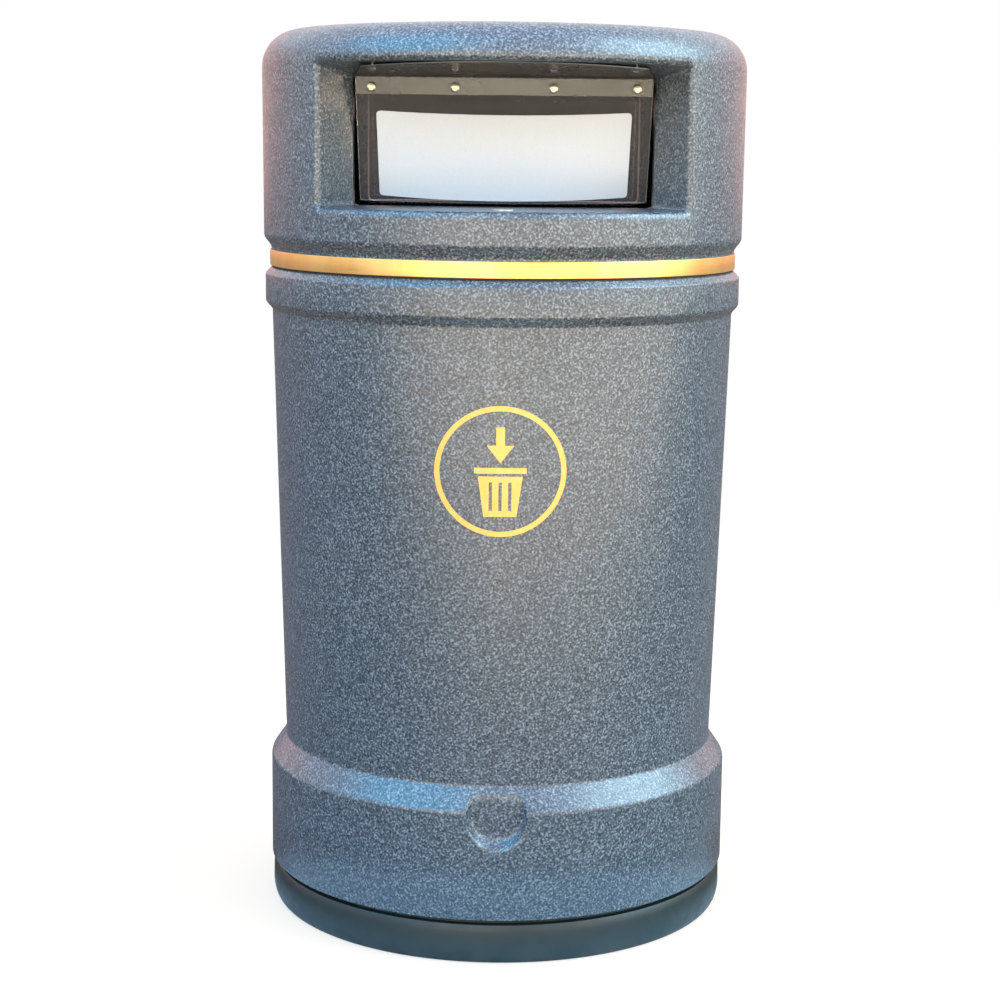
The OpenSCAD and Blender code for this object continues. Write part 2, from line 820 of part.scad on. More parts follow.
module lock_keeper() {
    r0 = keeper_r - keeper_t;
    color(zinc)
    difference() {
        union() {
            curved_plate(r0, keeper_r, keeper_low_z, keeper_z + keeper_t, keeper_half_angle, 270);
            intersection() {
                curved_plate(keeper_in_r - 4, keeper_r - 0.5, keeper_z, keeper_z + keeper_t,
                    keeper_half_angle, 270);
                translate([-19, -keeper_r, 0]) cube([38, keeper_r - keeper_in_r, total_h]);
            }
        }
        keeper_bores(-keeper_r);
    }
}

// Two short screws that end inside the wall of the spigot
module keeper_screws() {
    outer_x = keeper_screw_x + keeper_head_r;
    y = sqrt(pow(keeper_r - keeper_t, 2) - outer_x * outer_x) - run;
    color(steel)
    for (x = [-keeper_screw_x, keeper_screw_x]) translate([x, -y, keeper_screw_z]) rotate([-90, 0, 0])
        rotate_extrude($fn = 32) polygon([[0, 1.7], [1.8, 1.5], [keeper_head_r, 0.4], [keeper_head_r, 0],
            [rivet_shank_r, 0], [rivet_shank_r, 0.7 - keeper_screw_len], [1.4, -keeper_screw_len],
            [0, -keeper_screw_len]]);
}

// ---- Liner ----

// Outer radius of the tapered liner at height z
function liner_out_r(z) = liner_low_r
    + (liner_r - liner_low_r) * (z - liner_low_z) / (liner_top_z - liner_low_z);

module liner_shell() {
    color(zinc)
    rotate_extrude() polygon([[liner_low_r - liner_t, liner_low_z], [liner_low_r, liner_low_z],
        [liner_r, liner_top_z], [liner_r - liner_t, liner_top_z]]);
}

module liner_floor() {
    color(zinc)
    turned(0, liner_out_r(liner_floor_z) - liner_t - run, liner_floor_z, liner_floor_z + liner_t);
}

module liner_rim() {
    color(zinc)
    rotate_extrude() translate([liner_r - liner_t / 2, liner_top_z + 4]) circle(r = 4, $fn = 24);
}

// Two ears on each side hold the ends of a drop handle
module handle_ears() {
    outer = liner_out_r(handle_z) - liner_t - 0.25;
    color(zinc)
    for (side = [0, 180]) rotate([0, 0, side]) intersection() {
        difference() {
            union() {
                for (y = [-ear_y, ear_y]) translate([0, y + ear_t / 2, handle_z])
                    rotate([90, 0, 0]) linear_extrude(ear_t) union() {
                        translate([handle_x, 0]) circle(r = 6.5, $fn = 32);
                        translate([handle_x, -6.5]) square([outer - handle_x, 13]);
                    }
                intersection() {
                    turned(outer - ear_plate_t, outer + over, handle_z - 16, handle_z + 16);
                    for (y = [-ear_y, ear_y])
                        translate([100, y - 11, handle_z - 16]) cube([150, 22, 32]);
                }
            }
            translate([handle_x, -ear_y - ear_t, handle_z]) rotate([-90, 0, 0])
                cylinder(r = handle_r + run, h = 2 * (ear_y + ear_t), $fn = 32);
        }
        cylinder(r = outer, h = total_h);
    }
}

module ear_rivets() {
    inner = liner_out_r(handle_z) - liner_t - 0.25 - ear_plate_t;
    color(steel)
    for (side = [0, 180]) for (y = [-ear_y, ear_y]) for (dz = [-11.5, 11.5])
        rotate([0, 0, side + asin(y / inner)]) translate([inner - run, 0, handle_z + dz])
            rotate([0, -90, 0]) rotate_extrude($fn = 24)
                polygon([[0, 0], [3, 0], [2.6, 0.9], [1.4, 1.5], [0, 1.7]]);
}

// A drop handle of round bar: a grip, two bends, two legs and two ends that turn out into the ears
module drop_handle() {
    b = handle_bend;
    l = handle_leg_y;
    end_y = ear_y + ear_t / 2 + 1;
    color(steel)
    translate([handle_x, 0, handle_z]) {
        translate([0, -l + b, -handle_len]) rotate([-90, 0, 0])
            cylinder(r = handle_r, h = 2 * (l - b), $fn = 32);
        for (side = [-1, 1]) {
            translate([0, side * (l - b), b - handle_len]) rotate([0, 90, 0]) rotate([0, 0, side > 0 ? 0 : -90])
                rotate_extrude(angle = 90, $fn = 32) translate([b, 0]) circle(r = handle_r, $fn = 32);
            translate([0, side * l, b - handle_len])
                cylinder(r = handle_r, h = handle_len - b, $fn = 32);
            translate([0, side * l, 0]) sphere(r = handle_r, $fn = 32);
            translate([0, side > 0 ? l : -end_y, 0]) rotate([-90, 0, 0])
                cylinder(r = handle_r, h = end_y - l, $fn = 32);
        }
    }
}

module right_handle() {
    drop_handle();
}

module left_handle() {
    rotate([0, 0, 180]) drop_handle();
}

base_moulding();
ballast_slab();
body_shell();
base_bolts();
base_washers();
base_nuts();
rim_seal();
front_symbol();
rear_symbol();
hinge_body_leaf();
hinge_pin();
hinge_body_rivets();
lock_keeper();
keeper_screws();
hood_shell();
neck_band();
band_rivets();
hinge_hood_leaf();
hinge_hood_rivets();
front_hanger();
rear_hanger();
front_hanger_screws();
rear_hanger_screws();
front_flap_strip();
rear_flap_strip();
front_flap_rivets();
rear_flap_rivets();
front_flap();
rear_flap();
front_label();
rear_label();
lock_barrel();
lock_nut();
lock_plug();
lock_cam();
cam_screw();
liner_shell();
liner_floor();
liner_rim();
handle_ears();
ear_rivets();
left_handle();
right_handle();
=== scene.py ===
# Looks of the round litter bin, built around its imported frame.
# Metres, +Z up, the ground at z = 0, the axis of the bin at the origin, the front towards -Y.

import math

import bmesh
import bpy
import numpy as np
import openvdb
from mathutils import Matrix, Vector

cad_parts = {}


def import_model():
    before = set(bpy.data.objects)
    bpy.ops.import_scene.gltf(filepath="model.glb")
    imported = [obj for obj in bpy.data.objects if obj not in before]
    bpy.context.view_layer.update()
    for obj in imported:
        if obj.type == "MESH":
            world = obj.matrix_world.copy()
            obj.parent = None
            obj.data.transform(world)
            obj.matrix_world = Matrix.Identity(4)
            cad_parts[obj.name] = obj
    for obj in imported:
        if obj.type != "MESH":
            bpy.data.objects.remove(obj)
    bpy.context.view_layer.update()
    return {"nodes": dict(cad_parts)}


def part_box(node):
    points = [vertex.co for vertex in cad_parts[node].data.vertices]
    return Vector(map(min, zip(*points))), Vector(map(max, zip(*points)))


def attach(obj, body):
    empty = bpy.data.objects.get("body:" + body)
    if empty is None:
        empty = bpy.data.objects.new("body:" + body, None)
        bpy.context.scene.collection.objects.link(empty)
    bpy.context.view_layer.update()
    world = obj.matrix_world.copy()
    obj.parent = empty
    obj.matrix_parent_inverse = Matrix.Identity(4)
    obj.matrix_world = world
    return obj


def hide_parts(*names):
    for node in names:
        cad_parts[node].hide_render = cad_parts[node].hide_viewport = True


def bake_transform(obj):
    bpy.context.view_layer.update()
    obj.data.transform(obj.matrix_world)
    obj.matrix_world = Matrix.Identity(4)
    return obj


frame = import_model()

# ---- Sizes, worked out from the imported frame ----

hood_low, hood_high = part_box("hood_shell")
body_low, body_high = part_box("body_shell")
base_low, base_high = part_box("base_moulding")
band_low, band_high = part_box("neck_band")
strip_low, strip_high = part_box("front_flap_strip")
flap_low, flap_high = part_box("front_flap")
lock_low, lock_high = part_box("lock_barrel")

wall = 0.005

# Hood
total_h = hood_high.z
hood_r = hood_high.x
hood_low_z = hood_low.z
neck_r = band_high.x - 0.002
shoulder_r = 0.040
shoulder_z = total_h - 0.048
shoulder_end = 86
curl_z = band_high.z + 0.0007
curl_h = 0.016
curl_w = hood_r - 0.001 - neck_r

# Recess behind each aperture, from the mouth in the hood's wall to the throat
mouth_half = 0.193
mouth_y = math.sqrt(hood_r ** 2 - mouth_half ** 2)
throat_half = 0.1585
throat_y = 0.137
throat_end_y = 0.110
recess_least = 0.040
throat_sill = 0.7935
throat_top = 0.9295
sill_drop = 0.0015
lintel_rise = 0.0115
mouth_round = 0.007
recess_round = 0.005
end_round = 0.002
lining_fillet = 0.004
lock_place = (lock_low + lock_high) / 2
lock_bore_r = 0.0105
lock_bore_reach = 0.02
hood_voxel = 0.0034

# Base
base_r = base_high.x
base_h = 0.043
base_neck_r = 0.250
base_in_r = 0.246
base_floor_t = 0.008
base_round_w, base_round_h = 0.0073, 0.018
shelf_top = base_high.z
shelf_t = 0.008
shelf_in_r = 0.224
anchor_ring_r, anchor_r = 0.150, 0.0065
bolt_ring_r, bolt_r = 0.236, 0.0043

# Body
plinth_r = 0.262
foot_r = plinth_r - 0.0005
foot_round = 0.0012
pocket_rows_z = 0.115
body_r_low = 0.2445
body_r_high = 0.2574
body_wall_top = 0.670
collar_start = (0.2575, 0.675)
collar_rise = 0.012
collar_r = body_high.x
collar_low_z, collar_top_z = 0.700, 0.716
collar_round = 0.0024
rim_r = 0.2585
split_z = body_high.z - 0.010
convex_r = 0.010
fillet_r = 0.006
shoulder_slope = 35
shoulder_reach = 0.30986
flange_in_r = 0.226
spigot_r = 0.2505
spigot_in_r = 0.246

# Pocket in the plinth, one at the front and one at the rear
pocket_r = 0.028
pocket_face_y = 0.250
pocket_z = 0.162
pocket_flare_side = 0.0055
pocket_flare_low = 0.0085
pocket_depth = 0.012
pocket_inner_soft = 0.0008
pocket_outer_soft = 0.0007
pocket_half_zone, pocket_low_zone, pocket_high_zone = 0.06, 0.1, 0.22


def tangent_z(r, side):
    """Height of the centre of an arc that touches the plinth's sloping shoulder. The centre is at
    radius r, and side is its distance outside the shoulder's line, which passes shoulder_reach from
    the origin."""
    slope = math.radians(shoulder_slope)
    return (shoulder_reach + side - r * math.cos(slope)) / math.sin(slope)


convex_z = tangent_z(foot_r - convex_r, -convex_r)
fillet_z = tangent_z(body_r_low + fillet_r, fillet_r)

# Sheet: s runs down it from its top edge, n stands out from its outer face
sheet_t = 0.0025
sheet_len = 0.130
sheet_lean = math.radians(11)
sheet_top_z = strip_high.z
sheet_y = -strip_low.y - sheet_t * math.cos(sheet_lean)
sheet_half_top = strip_high.x
sheet_half_low = flap_high.x - 0.0031
fold_s = 0.020
bow_depth = 0.012
label_half = 0.134
label_top_s = 0.035
label_low_s = 0.1275
label_sag = 0.0035
label_t = 0.0005
label_corner = 0.004

# Hanger
hanger_t = 0.0015
hanger_inset = 0.009
hanger_taper = 0.009
ceiling_z = throat_top - 0.0003

# Camera, where the photographer stood
camera_place = Vector((0, -2.42, 0.854))
camera_pitch = 9.31
camera_roll = 0.61
camera_lens = 77.04


# ---- Outlines ----

def arc(cx, cy, r, a0, a1, n=24):
    """Points along an arc, from angle a0 to a1 in degrees."""
    return [(cx + r * math.cos(a), cy + r * math.sin(a)) for a in np.radians(np.linspace(a0, a1, n + 1))]


def s_curve(x, y, w, h, n=16):
    """An S-shaped rise of height h and width w, from the point (x, y)."""
    return [(x + w * t * t * (3 - 2 * t), y + h * t) for t in np.linspace(0, 1, n + 1)]


def crown(start, top, n=30):
    """The crown from the point start to its peak on the axis."""
    radii = start[0] * (1 - np.linspace(0, 1, n + 1)[1:])
    return [(r, top - (top - start[1]) * (r / start[0]) ** 2) for r in radii]


def eased(points, radius, closed=True, n=4, sharp=20):
    """The outline with each corner that turns by more than sharp degrees made into a small curve."""
    pts = [np.array(p, float) for p in points]
    out = []
    for i, p in enumerate(pts):
        if not closed and i in (0, len(pts) - 1):
            out.append(tuple(p))
            continue
        a, b = pts[i - 1] - p, pts[(i + 1) % len(pts)] - p
        la, lb = np.linalg.norm(a), np.linalg.norm(b)
        turn = math.pi - math.acos(np.clip(a @ b / (la * lb), -1, 1))
        if math.degrees(turn) < sharp:
            out.append(tuple(p))
            continue
        cut = min(radius * math.tan(turn / 2), 0.45 * la, 0.45 * lb)
        start, end = p + a / la * cut, p + b / lb * cut
        for t in np.linspace(0, 1, n + 1):
            out.append(tuple((1 - t) ** 2 * start + 2 * t * (1 - t) * p + t * t * end))
    return out


def body_outline(low_z, t=0.0, rows=35):
    """The body's outline from low_z to the foot of its collar, moved inwards by t, in small steps
    where the pocket is."""
    face = [(foot_r - t, low_z)] + [(foot_r - t, z) for z in np.linspace(pocket_rows_z, convex_z, rows)]
    convex = arc(foot_r - convex_r, convex_z, convex_r - t, 1, shoulder_slope, 16)
    concave = arc(body_r_low + fillet_r, fillet_z, fillet_r + t, 180 + shoulder_slope, 180, 16)
    start, end = np.array(convex[-1]), np.array(concave[0])
    slope = [tuple(start * (1 - k) + end * k) for k in (0.25, 0.5, 0.75)]
    high = [(body_r_low - t + (body_r_high - body_r_low) * k, fillet_z + (body_wall_top - fillet_z) * k)
            for k in (0.2, 0.4, 0.6, 0.8, 1)]
    return face + convex + slope + concave + high


def hood_outline(t):
    """The hood's outline from its neck to its crown, moved inwards by t."""
    turn = arc(hood_r - shoulder_r, shoulder_z, shoulder_r - t, 0, shoulder_end, 170)
    return s_curve(neck_r - t, curl_z + t, curl_w, curl_h, 60) + turn + crown(turn[-1], total_h - t, 60)


# ---- Meshes ----

def make_piece(name, points, faces, body, materials, outward=True):
    """A mesh object that rides on a CAD body, with the finishes it is given."""
    mesh = bpy.data.meshes.new(name)
    mesh.from_pydata([tuple(p) for p in points], [], [tuple(f) for f in faces])
    mesh.validate()
    if outward:
        work = bmesh.new()
        work.from_mesh(mesh)
        if work.calc_volume(signed=True) < 0:
            bmesh.ops.reverse_faces(work, faces=work.faces)
            work.to_mesh(mesh)
        work.free()
    for m in materials:
        mesh.materials.append(m)
    mesh.polygons.foreach_set("use_smooth", np.ones(len(mesh.polygons), bool))
    mesh.update()
    piece = bpy.data.objects.new(name, mesh)
    bpy.context.scene.collection.objects.link(piece)
    if body:
        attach(piece, body)
    return piece


def grid_faces(rows, cols, wrap_rows=False, wrap_cols=False):
    """Quads between the points of a grid that is stored row by row."""
    i = np.arange(rows if wrap_rows else rows - 1)
    j = np.arange(cols if wrap_cols else cols - 1)
    i, j = np.meshgrid(i, j, indexing="ij")
    i1, j1 = (i + 1) % rows, (j + 1) % cols
    return np.stack([i * cols + j, i * cols + j1, i1 * cols + j1, i1 * cols + j], -1).reshape(-1, 4)


def turned(outline, angles, closed_turn=True):
    """Points and faces of a closed outline of (r, z) turned about Z through the given angles."""
    outline = np.array(outline)
    a = np.asarray(angles)
    r, z = outline[:, 0][:, None], outline[:, 1][:, None]
    points = np.stack([r * np.cos(a), r * np.sin(a), z + 0 * a], -1).reshape(-1, 3)
    faces = grid_faces(len(outline), len(a), True, closed_turn).tolist()
    if not closed_turn:
        rows = np.arange(len(outline)) * len(a)
        faces += [rows.tolist(), (rows[::-1] + len(a) - 1).tolist()]
    return points, faces


def full_turn(steps):
    """Angles all the way round, without the last one."""
    return np.linspace(0, 2 * math.pi, steps, endpoint=False)


def apply_modifiers(piece):
    """Bakes a piece's modifiers into its mesh."""
    graph = bpy.context.evaluated_depsgraph_get()
    mesh = bpy.data.meshes.new_from_object(piece.evaluated_get(graph))
    piece.modifiers.clear()
    piece.data = mesh
    return piece


def add_bevel(piece, width, segments=2, sharp=50):
    """Rounds the sharp edges of a piece, and leaves the shading of its faces flat up to them."""
    bevel = piece.modifiers.new("edges", "BEVEL")
    bevel.width, bevel.segments = width, segments
    bevel.limit_method, bevel.angle_limit = "ANGLE", math.radians(sharp)
    bevel.harden_normals = True
    return bevel


def round_union(a, b, r):
    """Signed distance of the union of two shapes, with a fillet of radius r where they meet."""
    return np.maximum(r, np.minimum(a, b)) - np.hypot(np.maximum(r - a, 0), np.maximum(r - b, 0))


def round_overlap(a, b, r):
    """Signed distance of the overlap of two shapes, with its edge rounded to radius r."""
    return np.minimum(-r, np.maximum(a, b)) + np.hypot(np.maximum(r + a, 0), np.maximum(r + b, 0))


class Outline:
    """Signed distance to a closed outline of (r, z), looked up in a table. It is negative inside."""

    def __init__(self, points, low, high, cell):
        self.low, self.cell = np.array(low), cell
        self.shape = np.ceil((np.array(high) - self.low) / cell).astype(int) + 2
        r = self.low[0] + cell * np.arange(self.shape[0])[:, None]
        z = self.low[1] + cell * np.arange(self.shape[1])[None, :]
        r, z = r + 0 * z, z + 0 * r
        nearest, inside = np.full(r.shape, 9.0), np.zeros(r.shape, bool)
        for (x0, y0), (x1, y1) in zip(points, points[1:] + points[:1]):
            ex, ey = x1 - x0, y1 - y0
            k = np.clip(((r - x0) * ex + (z - y0) * ey) / (ex * ex + ey * ey + 1e-18), 0, 1)
            nearest = np.minimum(nearest, np.hypot(r - x0 - k * ex, z - y0 - k * ey))
            crosses = (y0 > z) != (y1 > z)
            if ey:
                inside ^= crosses & (r < x0 + (z - y0) * ex / ey)
        self.table = np.where(inside, -nearest, nearest)

    def __call__(self, r, z):
        u = np.clip((r - self.low[0]) / self.cell, 0, self.shape[0] - 1.001)
        v = np.clip((z - self.low[1]) / self.cell, 0, self.shape[1] - 1.001)
        i, j = u.astype(int), v.astype(int)
        u, v, t = u - i, v - j, self.table
        return ((t[i, j] * (1 - u) + t[i + 1, j] * u) * (1 - v)
                + (t[i, j + 1] * (1 - u) + t[i + 1, j + 1] * u) * v)


def mesh_of_distance(distance, low, high, voxel):
    """Points, quads and normals of the surface where a signed distance is zero."""
    axes = [np.arange(a, b + voxel, voxel) for a, b in zip(low, high)]
    x, y, z = np.meshgrid(*axes, indexing="ij")
    grid = openvdb.FloatGrid(background=voxel * 3)
    grid.copyFromArray(distance(x, y, z).astype(np.float32))
    points, quads = grid.convertToQuads(isovalue=0.0)
    points = points.astype(float) * voxel + np.array(low)

    def slope(p, h=voxel * 0.25):
        d = [distance(*(p + h * e).T) - distance(*(p - h * e).T) for e in np.eye(3)]
        return np.stack(d, -1) / (2 * h)

    for _ in range(3):
        g = slope(points)
        shift = distance(*points.T) / np.maximum((g * g).sum(1), 0.25)
        points -= np.clip(shift, -voxel * 0.5, voxel * 0.5)[:, None] * g
    g = slope(points)
    return points, quads, g / np.maximum(np.linalg.norm(g, axis=1), 1e-9)[:, None]


# ---- Materials ----

def add(tree, kind, values=None, **settings):
    """A shader node, with its settings and its inputs, which are values or other nodes' outputs."""
    made = tree.nodes.new("ShaderNode" + kind)
    for key, value in settings.items():
        setattr(made, key, value)
    for key, value in (values or {}).items():
        if isinstance(value, bpy.types.NodeSocket):
            tree.links.new(value, made.inputs[key])
        else:
            made.inputs[key].default_value = value
    return made


def colour(rgb):
    return (*rgb, 1.0)


def mixed(tree, factor, a, b, blend="MIX"):
    """Two colours, or two nodes' outputs, blended by a factor."""
    a, b = [v if isinstance(v, bpy.types.NodeSocket) else colour(v) for v in (a, b)]
    return add(tree, "Mix", {0: factor, 6: a, 7: b}, data_type="RGBA", blend_type=blend).outputs[2]


def place(tree, scale=(1, 1, 1), turn=(0, 0, 0)):
    """Object coordinates, which stay with the piece as it moves."""
    found = add(tree, "TexCoord").outputs["Object"]
    return add(tree, "Mapping", {"Vector": found, "Scale": scale, "Rotation": turn}).outputs[0]


def noise(tree, where, scale, detail=2.0, rough=0.5):
    """Noise with a scale per metre."""
    return add(tree, "TexNoise", {"Vector": where, "Scale": scale, "Detail": detail,
                                  "Roughness": rough}).outputs[0]


def cells(tree, where, scale):
    """A random colour for each cell."""
    return add(tree, "TexVoronoi", {"Vector": where, "Scale": scale}).outputs["Color"]


def ramp(tree, factor, stops):
    """A colour ramp with stops of (place, colour)."""
    made = add(tree, "ValToRGB", {0: factor})
    marks = made.color_ramp.elements
    while len(marks) < len(stops):
        marks.new(1.0)
    for mark, (at, rgb) in zip(marks, stops):
        mark.position, mark.color = at, colour(rgb)
    return made.outputs[0]


def spread(tree, factor, low, high, start=0.3, end=0.7):
    """The factor's range from start to end, spread from low to high."""
    return add(tree, "MapRange", {0: factor, 1: start, 2: end, 3: low, 4: high}).outputs[0]


def step(tree, factor, start, end):
    """0 at start, rising smoothly to 1 at end."""
    made = add(tree, "MapRange", {0: factor, 1: start, 2: end}, interpolation_type="SMOOTHSTEP")
    return made.outputs[0]


def bumped(tree, height, depth, strength):
    """Normals bumped by a height, with depth in metres."""
    return add(tree, "Bump", {"Height": height, "Distance": depth, "Strength": strength}).outputs[0]


def material(name, **inputs):
    """A material, its node tree and its one principled shader."""
    made = bpy.data.materials.new(name)
    made.use_nodes = True
    tree = made.node_tree
    tree.nodes.clear()
    shader = add(tree, "BsdfPrincipled", {k.replace("_", " "): v for k, v in inputs.items()})
    add(tree, "OutputMaterial", {0: shader.outputs[0]})
    return made, tree, shader


def wire(tree, shader, **sockets):
    """Links nodes' outputs to the shader's inputs."""
    for key, value in sockets.items():
        tree.links.new(value, shader.inputs[key.replace("_", " ")])


def granite_plastic():
    """Moulded polyethylene with a granite fleck: dark slate, broken by small pale flecks."""
    made, tree, shader = material("granite_plastic")
    at = place(tree, turn=(0.5, 0.4, 0.3))
    speck = noise(tree, at, 465, 0.0)
    flecks = ramp(tree, speck, [(0.26, (0.015, 0.029, 0.039)), (0.40, (0.041, 0.061, 0.074)),
                                (0.50, (0.062, 0.085, 0.099)), (0.60, (0.096, 0.122, 0.138)),
                                (0.74, (0.192, 0.228, 0.251))])
    cloud = noise(tree, at, 5.0, 2.0)
    shade = ramp(tree, cloud, [(0.3, (0.90, 0.92, 0.95)), (0.7, (1.0, 1.0, 1.0))])
    wire(tree, shader, Base_Color=mixed(tree, 1.0, flecks, shade, "MULTIPLY"),
         Roughness=spread(tree, noise(tree, at, 160, 2.0), 0.25, 0.38),
         Normal=bumped(tree, noise(tree, at, 260, 2.0, 0.6), 0.00035, 0.5))
    shader.inputs["Specular IOR Level"].default_value = 0.85
    return made


def black_plastic():
    """Black moulded plastic with a fine texture, scuffed and dusty towards the ground."""
    made, tree, shader = material("black_plastic")
    at = place(tree)
    height = add(tree, "SeparateXYZ", {0: at}).outputs[2]
    dust = noise(tree, at, 28, 4.0, 0.65)
    low = add(tree, "MapRange", {0: height, 1: 0.030, 2: 0.0, 3: 0.0, 4: 0.6}).outputs[0]
    cover = add(tree, "Math", {0: spread(tree, dust, 0.0, 1.0), 1: low}, operation="MULTIPLY").outputs[0]
    wire(tree, shader, Base_Color=mixed(tree, cover, (0.009, 0.020, 0.019), (0.050, 0.064, 0.060)),
         Roughness=spread(tree, noise(tree, at, 90, 3.0), 0.30, 0.46),
         Normal=bumped(tree, noise(tree, at, 900, 2.0), 0.00008, 0.5))
    return made


def concrete():
    """Cast concrete with sand and small air holes."""
    made, tree, shader = material("concrete", Roughness=0.9)
    at = place(tree)
    sand = noise(tree, at, 400, 4.0, 0.7)
    holes = add(tree, "TexVoronoi", {"Vector": at, "Scale": 90}).outputs["Distance"]
    pit = ramp(tree, holes, [(0.05, (0.25, 0.25, 0.25)), (0.14, (1, 1, 1))])
    grey = ramp(tree, sand, [(0.3, (0.36, 0.35, 0.33)), (0.7, (0.60, 0.59, 0.56))])
    wire(tree, shader, Base_Color=mixed(tree, 1.0, grey, pit, "MULTIPLY"),
         Normal=bumped(tree, sand, 0.0004, 0.6))
    return made


def metal(name, dark, light, rough, scale=(1, 1, 1), grain=220, metallic=1.0, depth=0.00003):
    """Metal whose tone and gloss vary with a grain that can be drawn out along one axis."""
    made, tree, shader = material(name, Metallic=metallic)
    at = place(tree, scale)
    fine = noise(tree, at, grain, 3.0, 0.6)
    broad = noise(tree, place(tree), 22, 2.0)
    tone = mixed(tree, spread(tree, fine, 0.0, 1.0), dark, light)
    cloudy = ramp(tree, broad, [(0.35, dark), (0.65, light)])
    wire(tree, shader, Base_Color=mixed(tree, 0.25, tone, cloudy),
         Roughness=spread(tree, broad, rough[0], rough[1]),
         Normal=bumped(tree, fine, depth, 0.6))
    return made


def dark_steel():
    """Dull dark strip, with painted shade where it lies up under the ceiling of a recess."""
    made, tree, shader = material("dark_steel", Metallic=0.8)
    at = place(tree)
    broad = noise(tree, at, 22, 2.0)
    height = add(tree, "SeparateXYZ", {0: at}).outputs[2]
    # Painted shade: the strip turns dark in the last 1.2 mm below the ceiling, where the lintel shades
    # it.
    painted_shade = step(tree, height, ceiling_z - 0.0012, ceiling_z)
    tone = ramp(tree, broad, [(0.35, (0.18, 0.187, 0.18)), (0.65, (0.245, 0.257, 0.25))])
    wire(tree, shader, Base_Color=mixed(tree, painted_shade, tone, (0.075, 0.075, 0.075)),
         Roughness=spread(tree, broad, 0.20, 0.30), Normal=bumped(tree, broad, 0.0001, 0.3))
    return made


def galvanised():
    """Hot-dip galvanised sheet with its spangle."""
    made, tree, shader = material("galvanised", Metallic=0.9)
    at = place(tree)
    spangle = cells(tree, at, 75)
    tone = ramp(tree, spangle, [(0.0, (0.40, 0.42, 0.44)), (1.0, (0.68, 0.70, 0.72))])
    stain = noise(tree, at, 9, 4.0, 0.6)
    wire(tree, shader, Base_Color=mixed(tree, spread(tree, stain, 0.0, 0.35), tone, (0.50, 0.49, 0.46)),
         Roughness=spread(tree, spangle, 0.34, 0.55, 0.0, 1.0),
         Normal=bumped(tree, noise(tree, at, 300, 2.0), 0.00004, 0.5))
    return made


def gold_print():
    """Gold vinyl print, slightly mottled and worn at random."""
    made, tree, shader = material("gold_print", Metallic=0.15)
    at = place(tree)
    mottle = noise(tree, at, 140, 3.0, 0.6)
    tone = ramp(tree, mottle, [(0.3, (0.80, 0.43, 0.09)), (0.7, (0.88, 0.51, 0.13))])
    wire(tree, shader, Base_Color=tone,
         Roughness=spread(tree, mottle, 0.36, 0.48),
         Normal=bumped(tree, noise(tree, at, 500, 2.0), 0.00006, 0.5))
    return made


def gold_band():
    """Gold anodised strip, brushed along its length."""
    made, tree, shader = material("gold_band", Metallic=0.85)
    brush = noise(tree, place(tree, (12, 12, 2600)), 1.0, 3.0, 0.6)
    patch = noise(tree, place(tree, (26, 26, 3)), 1.0, 3.0, 0.55)
    tone = mixed(tree, spread(tree, patch, 0.0, 1.0), (0.90, 0.50, 0.15), (0.97, 0.64, 0.24))
    wire(tree, shader, Base_Color=mixed(tree, spread(tree, brush, 0.0, 0.10), tone, (0.76, 0.41, 0.12)),
         Roughness=spread(tree, brush, 0.26, 0.40),
         Normal=bumped(tree, brush, 0.00001, 0.3))
    return made


def clear_sheet():
    """Clear flexible sheet, lightly smoked and hazed by wear. It has no mirror reflection, because
    one so faint renders as dots."""
    made, tree, shader = material("clear_sheet", Base_Color=colour((0.55, 0.57, 0.58)), IOR=1.46,
                                  Transmission_Weight=0.94, Specular_Tint=colour((0.0, 0.0, 0.0)))
    scuff = noise(tree, place(tree, (25, 25, 60)), 1.0, 2.0)
    wire(tree, shader, Roughness=spread(tree, scuff, 0.03, 0.055),
         Normal=bumped(tree, noise(tree, place(tree), 9, 1.0), 0.0016, 0.25))
    return made


def sheet_edge():
    """The cut edge of the sheet, frosted and pale."""
    made, tree, shader = material("sheet_edge", Transmission_Weight=0.2)
    saw = noise(tree, place(tree), 900, 2.0)
    tone = ramp(tree, saw, [(0.3, (0.50, 0.50, 0.48)), (0.7, (0.78, 0.78, 0.75))])
    wire(tree, shader, Base_Color=tone,
         Roughness=spread(tree, saw, 0.35, 0.6), Normal=bumped(tree, saw, 0.0001, 0.5))
    return made


def label_white():
    """Plain white label with the faint waves of a hand-laid film."""
    made, tree, shader = material("label_white")
    at = place(tree)
    film = noise(tree, at, 600, 2.0)
    wire(tree, shader,
         Base_Color=ramp(tree, film, [(0.3, (0.495, 0.56, 0.605)), (0.7, (0.53, 0.595, 0.64))]),
         Roughness=spread(tree, film, 0.42, 0.55),
         Normal=bumped(tree, noise(tree, at, 30, 1.0), 0.0002, 0.3))
    return made


def seal_rubber():
    """Black cellular rubber."""
    made, tree, shader = material("seal_rubber")
    at = place(tree)
    pores = add(tree, "TexVoronoi", {"Vector": at, "Scale": 1300}).outputs["Distance"]
    tone = ramp(tree, pores, [(0.1, (0.008, 0.008, 0.009)), (0.5, (0.03, 0.03, 0.032))])
    wire(tree, shader, Base_Color=tone,
         Roughness=spread(tree, pores, 0.6, 0.8, 0.0, 0.6), Normal=bumped(tree, pores, 0.0002, 0.6))
    return made


